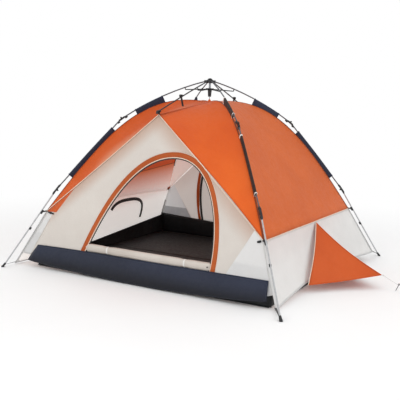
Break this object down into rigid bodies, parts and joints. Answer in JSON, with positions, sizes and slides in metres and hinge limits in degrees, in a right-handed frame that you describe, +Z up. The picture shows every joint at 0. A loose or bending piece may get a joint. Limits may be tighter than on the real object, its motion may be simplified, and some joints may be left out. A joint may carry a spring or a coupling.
{
  "type": "pop-up dome tent",
  "caption": "Pop-up dome tent with an external umbrella-hub frame that folds, jointed legs, arched doorway, side vent awning and bathtub floor.",
  "frame": {"origin": "centre of the cabin floor's underside, on the ground, below the hub", "axes": "+Z up; -Y is the door side; +X is the right side seen from outside the door, where the vent awning is"},
  "size_m": [2.8291, 2.284, 1.512],
  "materials": {
    "black_plastic": "moulded matte black",
    "strut_steel": "plated flat bar",
    "pole_grey": "pale grey coated tube",
    "navy_cloth": "navy woven polyester",
    "orange_cloth": "orange coated polyester",
    "cream_cloth": "cream woven polyester",
    "white_cloth": "pale grey white woven polyester",
    "floor_cloth": "black coated groundsheet",
    "guy_cord": "pale braided cord",
    "zip_metal": "black painted zip slider"
  },
  "bodies": {
    "hub": {"hub_crown": "black_plastic", "hub_rod": "strut_steel"},
    "runner": {"hub_runner": "black_plastic"},
    "column_tube_1": {"hub_tube_1": "strut_steel"},
    "column_tube_2": {"hub_tube_2": "strut_steel"},
    "column_tube_3": {"hub_tube_3": "strut_steel"},
    "leg_upper_fr": {"upper_pole_fr": "pole_grey", "elbow_one_fr": "black_plastic", "sleeve_upper_fr": "navy_cloth"},
    "strut_fr": {"strut_fr": "strut_steel"},
    "leg_middle_fr": {"middle_pole_fr": "pole_grey", "elbow_two_fr": "black_plastic", "sleeve_middle_fr": "navy_cloth"},
    "leg_lower_fr": {"lower_pole_fr": "pole_grey", "foot_fr": "black_plastic"},
    "leg_upper_fl": {"upper_pole_fl": "pole_grey", "elbow_one_fl": "black_plastic", "sleeve_upper_fl": "navy_cloth"},
    "strut_fl": {"strut_fl": "strut_steel"},
    "leg_middle_fl": {"middle_pole_fl": "pole_grey", "elbow_two_fl": "black_plastic", "sleeve_middle_fl": "navy_cloth"},
    "leg_lower_fl": {"lower_pole_fl": "pole_grey", "foot_fl": "black_plastic"},
    "leg_upper_rr": {"upper_pole_rr": "pole_grey", "elbow_one_rr": "black_plastic", "sleeve_upper_rr": "navy_cloth"},
    "strut_rr": {"strut_rr": "strut_steel"},
    "leg_middle_rr": {"middle_pole_rr": "pole_grey", "elbow_two_rr": "black_plastic", "sleeve_middle_rr": "navy_cloth"},
    "leg_lower_rr": {"lower_pole_rr": "pole_grey", "foot_rr": "black_plastic"},
    "leg_upper_rl": {"upper_pole_rl": "pole_grey", "elbow_one_rl": "black_plastic", "sleeve_upper_rl": "navy_cloth"},
    "strut_rl": {"strut_rl": "strut_steel"},
    "leg_middle_rl": {"middle_pole_rl": "pole_grey", "elbow_two_rl": "black_plastic", "sleeve_middle_rl": "navy_cloth"},
    "leg_lower_rl": {"lower_pole_rl": "pole_grey", "foot_rl": "black_plastic"},
    "arm_front": {"arm_front": "black_plastic"},
    "arm_strut_front": {"arm_strut_front": "strut_steel"},
    "arm_rear": {"arm_rear": "black_plastic"},
    "arm_strut_rear": {"arm_strut_rear": "strut_steel"},
    "roof_right": {"gore_right": "orange_cloth"},
    "roof_left": {"gore_left": "orange_cloth"},
    "roof_front": {"gore_front": "orange_cloth"},
    "roof_rear": {"gore_rear": "orange_cloth"},
    "side_right": {"wall_right": "white_cloth", "vent_awning": "orange_cloth"},
    "side_left": {"wall_left": "white_cloth"},
    "end_front": {"wall_front": "cream_cloth", "door_roll": "cream_cloth"},
    "end_rear": {"wall_rear": "cream_cloth"},
    "floor_half_front": {"floor_front": "floor_cloth"},
    "floor_half_rear": {"floor_rear": "floor_cloth"},
    "guy": {"vent_guy": "guy_cord"},
    "zip": {"zip_slider": "zip_metal"}
  },
  "joints": [
    {"name": "hub_fold", "type": "slide", "parent": "hub", "child": "runner", "axis": [0, 0, -1], "range_m": [0, 0.2919], "deforming": ["gore_front", "gore_rear", "gore_right", "gore_left", "wall_front", "wall_rear", "wall_right", "wall_left", "floor_front", "floor_rear", "vent_awning"]},
    {"name": "column_1", "type": "slide", "parent": "hub", "child": "column_tube_1", "axis": [0, 0, -1], "range_m": [0, 0.0759]},
    {"name": "column_2", "type": "slide", "parent": "hub", "child": "column_tube_2", "axis": [0, 0, -1], "range_m": [0, 0.1518]},
    {"name": "column_3", "type": "slide", "parent": "hub", "child": "column_tube_3", "axis": [0, 0, -1], "range_m": [0, 0.2277]},
    {"name": "leg_fr", "type": "hinge", "parent": "hub", "child": "leg_upper_fr", "pos_m": [0.02889, -0.02767, 1.494], "axis": [0.6916, 0.7222, 0], "range_deg": [0, 64.81]},
    {"name": "strut_fr_pin", "type": "hinge", "parent": "runner", "child": "strut_fr", "pos_m": [0.0195, -0.01867, 1.432], "axis": [-0.6916, -0.7222, 0], "range_deg": [0, 75.46]},
    {"name": "elbow_one_fr", "type": "hinge", "parent": "leg_upper_fr", "child": "leg_middle_fr", "pos_m": [0.52085, -0.49878, 1.18663], "axis": [-0.6916, -0.7222, 0], "range_deg": [0, 196.11]},
    {"name": "elbow_two_fr", "type": "hinge", "parent": "leg_middle_fr", "child": "leg_lower_fr", "pos_m": [0.87502, -0.83795, 0.60462], "axis": [0.6916, 0.7222, 0], "range_deg": [0, 167.3]},
    {"name": "leg_fl", "type": "hinge", "parent": "hub", "child": "leg_upper_fl", "pos_m": [-0.02889, -0.02767, 1.494], "axis": [0.6916, -0.7222, 0], "range_deg": [0, 64.81]},
    {"name": "strut_fl_pin", "type": "hinge", "parent": "runner", "child": "strut_fl", "pos_m": [-0.0195, -0.01867, 1.432], "axis": [-0.6916, 0.7222, 0], "range_deg": [0, 75.46]},
    {"name": "elbow_one_fl", "type": "hinge", "parent": "leg_upper_fl", "child": "leg_middle_fl", "pos_m": [-0.52085, -0.49878, 1.18663], "axis": [-0.6916, 0.7222, 0], "range_deg": [0, 196.11]},
    {"name": "elbow_two_fl", "type": "hinge", "parent": "leg_middle_fl", "child": "leg_lower_fl", "pos_m": [-0.87502, -0.83795, 0.60462], "axis": [0.6916, -0.7222, 0], "range_deg": [0, 167.3]},
    {"name": "leg_rr", "type": "hinge", "parent": "hub", "child": "leg_upper_rr", "pos_m": [0.02889, 0.02767, 1.494], "axis": [-0.6916, 0.7222, 0], "range_deg": [0, 64.81]},
    {"name": "strut_rr_pin", "type": "hinge", "parent": "runner", "child": "strut_rr", "pos_m": [0.0195, 0.01867, 1.432], "axis": [0.6916, -0.7222, 0], "range_deg": [0, 75.46]},
    {"name": "elbow_one_rr", "type": "hinge", "parent": "leg_upper_rr", "child": "leg_middle_rr", "pos_m": [0.52085, 0.49878, 1.18663], "axis": [0.6916, -0.7222, 0], "range_deg": [0, 196.11]},
    {"name": "elbow_two_rr", "type": "hinge", "parent": "leg_middle_rr", "child": "leg_lower_rr", "pos_m": [0.87502, 0.83795, 0.60462], "axis": [-0.6916, 0.7222, 0], "range_deg": [0, 167.3]},
    {"name": "leg_rl", "type": "hinge", "parent": "hub", "child": "leg_upper_rl", "pos_m": [-0.02889, 0.02767, 1.494], "axis": [-0.6916, -0.7222, 0], "range_deg": [0, 64.81]},
    {"name": "strut_rl_pin", "type": "hinge", "parent": "runner", "child": "strut_rl", "pos_m": [-0.0195, 0.01867, 1.432], "axis": [0.6916, 0.7222, 0], "range_deg": [0, 75.46]},
    {"name": "elbow_one_rl", "type": "hinge", "parent": "leg_upper_rl", "child": "leg_middle_rl", "pos_m": [-0.52085, 0.49878, 1.18663], "axis": [0.6916, 0.7222, 0], "range_deg": [0, 196.11]},
    {"name": "elbow_two_rl", "type": "hinge", "parent": "leg_middle_rl", "child": "leg_lower_rl", "pos_m": [-0.87502, 0.83795, 0.60462], "axis": [-0.6916, -0.7222, 0], "range_deg": [0, 167.3]},
    {"name": "arm_front_pin", "type": "hinge", "parent": "hub", "child": "arm_front", "pos_m": [0, -0.04, 1.494], "axis": [1, 0, 0], "range_deg": [0, 71.16]},
    {"name": "arm_strut_front_pin", "type": "hinge", "parent": "runner", "child": "arm_strut_front", "pos_m": [0, -0.027, 1.432], "axis": [-1, 0, 0], "range_deg": [0, 84.61]},
    {"name": "arm_rear_pin", "type": "hinge", "parent": "hub", "child": "arm_rear", "pos_m": [0, 0.04, 1.494], "axis": [-1, 0, 0], "range_deg": [0, 71.16]},
    {"name": "arm_strut_rear_pin", "type": "hinge", "parent": "runner", "child": "arm_strut_rear", "pos_m": [0, 0.027, 1.432], "axis": [1, 0, 0], "range_deg": [0, 84.61]},
    {"name": "roof_right_fold", "type": "hinge", "parent": "hub", "child": "roof_right", "pos_m": [0.11, 0, 1.32], "axis": [0, 1, 0], "range_deg": [0, 43.26]},
    {"name": "roof_left_fold", "type": "hinge", "parent": "hub", "child": "roof_left", "pos_m": [-0.11, 0, 1.32], "axis": [0, -1, 0], "range_deg": [0, 43.26]},
    {"name": "roof_front_fold", "type": "hinge", "parent": "hub", "child": "roof_front", "pos_m": [0, -0.11, 1.32], "axis": [1, 0, 0], "range_deg": [0, 81.77]},
    {"name": "roof_rear_fold", "type": "hinge", "parent": "hub", "child": "roof_rear", "pos_m": [0, 0.11, 1.32], "axis": [-1, 0, 0], "range_deg": [0, 81.77]},
    {"name": "side_right_gather", "type": "slide", "parent": "hub", "child": "side_right", "axis": [-1, 0, 0], "range_m": [0, 0.8]},
    {"name": "side_left_gather", "type": "slide", "parent": "hub", "child": "side_left", "axis": [1, 0, 0], "range_m": [0, 0.8]},
    {"name": "end_front_gather", "type": "slide", "parent": "hub", "child": "end_front", "axis": [0, 1, 0], "range_m": [0, 0.6]},
    {"name": "end_rear_gather", "type": "slide", "parent": "hub", "child": "end_rear", "axis": [0, -1, 0], "range_m": [0, 0.6]},
    {"name": "floor_front_fold", "type": "hinge", "parent": "hub", "child": "floor_half_front", "pos_m": [0, 0.02, 0], "axis": [-1, 0, 0], "range_deg": [0, 90]},
    {"name": "floor_rear_fold", "type": "hinge", "parent": "hub", "child": "floor_half_rear", "pos_m": [0, 0.02, 0], "axis": [1, 0, 0], "range_deg": [0, 90]},
    {"name": "guy_gather", "type": "slide", "parent": "side_right", "child": "guy", "axis": [-0.6897, -0.7241, 0], "range_m": [0, 0.5394]},
    {"name": "door_zip", "type": "slide", "parent": "end_front", "child": "zip", "axis": [0, 0.1483, 0.9889], "range_m": [0, 0.34]}
  ],
  "couplings": [
    {"joint": "column_1", "follows": "hub_fold", "ratio": 0.26002},
    {"joint": "column_2", "follows": "hub_fold", "ratio": 0.52004},
    {"joint": "column_3", "follows": "hub_fold", "ratio": 0.78006},
    {"joint": "leg_fr", "follows": "hub_fold", "rad_per_m": 3.8751},
    {"joint": "strut_fr_pin", "follows": "hub_fold", "rad_per_m": 4.5119},
    {"joint": "elbow_one_fr", "follows": "hub_fold", "rad_per_m": 11.725},
    {"joint": "elbow_two_fr", "follows": "hub_fold", "rad_per_m": 10.003},
    {"joint": "leg_fl", "follows": "hub_fold", "rad_per_m": 3.8751},
    {"joint": "strut_fl_pin", "follows": "hub_fold", "rad_per_m": 4.5119},
    {"joint": "elbow_one_fl", "follows": "hub_fold", "rad_per_m": 11.725},
    {"joint": "elbow_two_fl", "follows": "hub_fold", "rad_per_m": 10.003},
    {"joint": "leg_rr", "follows": "hub_fold", "rad_per_m": 3.8751},
    {"joint": "strut_rr_pin", "follows": "hub_fold", "rad_per_m": 4.5119},
    {"joint": "elbow_one_rr", "follows": "hub_fold", "rad_per_m": 11.725},
    {"joint": "elbow_two_rr", "follows": "hub_fold", "rad_per_m": 10.003},
    {"joint": "leg_rl", "follows": "hub_fold", "rad_per_m": 3.8751},
    {"joint": "strut_rl_pin", "follows": "hub_fold", "rad_per_m": 4.5119},
    {"joint": "elbow_one_rl", "follows": "hub_fold", "rad_per_m": 11.725},
    {"joint": "elbow_two_rl", "follows": "hub_fold", "rad_per_m": 10.003},
    {"joint": "arm_front_pin", "follows": "hub_fold", "rad_per_m": 4.2548},
    {"joint": "arm_strut_front_pin", "follows": "hub_fold", "rad_per_m": 5.0584},
    {"joint": "arm_rear_pin", "follows": "hub_fold", "rad_per_m": 4.2548},
    {"joint": "arm_strut_rear_pin", "follows": "hub_fold", "rad_per_m": 5.0584},
    {"joint": "roof_right_fold", "follows": "hub_fold", "rad_per_m": 2.586},
    {"joint": "roof_left_fold", "follows": "hub_fold", "rad_per_m": 2.586},
    {"joint": "roof_front_fold", "follows": "hub_fold", "rad_per_m": 4.8886},
    {"joint": "roof_rear_fold", "follows": "hub_fold", "rad_per_m": 4.8886},
    {"joint": "side_right_gather", "follows": "hub_fold", "ratio": 2.7407},
    {"joint": "side_left_gather", "follows": "hub_fold", "ratio": 2.7407},
    {"joint": "end_front_gather", "follows": "hub_fold", "ratio": 2.0555},
    {"joint": "end_rear_gather", "follows": "hub_fold", "ratio": 2.0555},
    {"joint": "floor_front_fold", "follows": "hub_fold", "rad_per_m": 5.3813},
    {"joint": "floor_rear_fold", "follows": "hub_fold", "rad_per_m": 5.3813},
    {"joint": "guy_gather", "follows": "hub_fold", "ratio": 1.8479}
  ]
}
